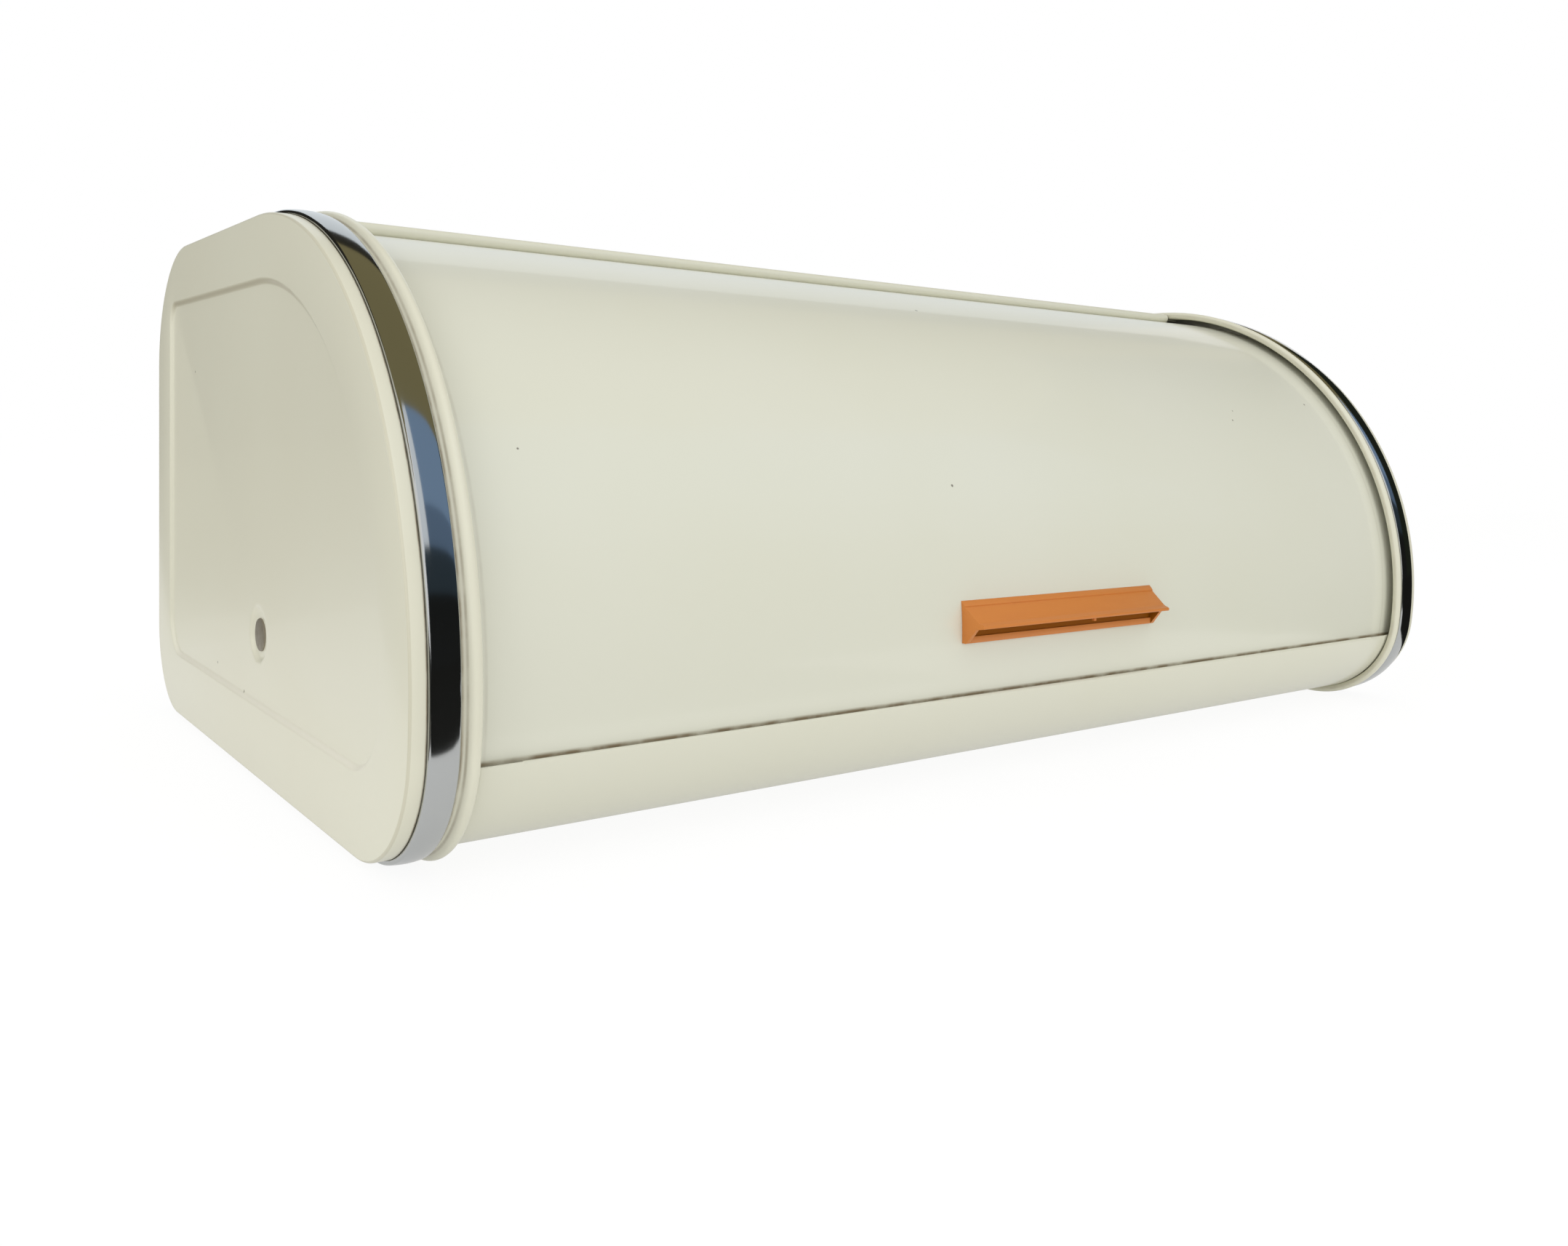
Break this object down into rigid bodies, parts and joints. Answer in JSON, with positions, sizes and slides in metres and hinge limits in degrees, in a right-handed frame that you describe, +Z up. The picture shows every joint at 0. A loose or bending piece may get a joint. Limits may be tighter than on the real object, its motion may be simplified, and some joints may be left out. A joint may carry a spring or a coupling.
{
  "type": "roll-top bread box",
  "caption": "Roll-top bread box of enamelled sheet steel with bright trimmed end caps and a curved lid that turns back under the flat top by a moulded finger grip.",
  "frame": {"origin": "on the standing plane, under the middle of the whole box", "axes": "+Z up, +X along the length to the right as seen from the front, front towards -Y"},
  "size_m": [0.445, 0.2648, 0.1726],
  "materials": {
    "cream_enamel": "gloss stove enamel",
    "chrome_trim": "polished",
    "caramel_plastic": "moulded satin gloss",
    "zinc_steel": "dull zinc plate",
    "nylon": "natural"
  },
  "bodies": {
    "case": {"base_pan": "cream_enamel", "back_top_panel": "cream_enamel", "left_end_cap": "cream_enamel", "left_chrome_band": "chrome_trim", "left_pivot_rivet": "zinc_steel", "left_spacer_washer": "nylon", "left_tail_washer": "zinc_steel", "right_end_cap": "cream_enamel", "right_chrome_band": "chrome_trim", "right_pivot_rivet": "zinc_steel", "right_spacer_washer": "nylon", "right_tail_washer": "zinc_steel"},
    "lid": {"lid_panel": "cream_enamel", "left_lid_cheek": "cream_enamel", "right_lid_cheek": "cream_enamel", "handle_grip": "caramel_plastic", "handle_push_nuts": "zinc_steel"}
  },
  "joints": [
    {"name": "lid_roll", "type": "hinge", "parent": "case", "child": "lid", "pos_m": [0, -0.00193, 0.04505], "axis": [-1, 0, 0], "range_deg": [0, 80]}
  ]
}
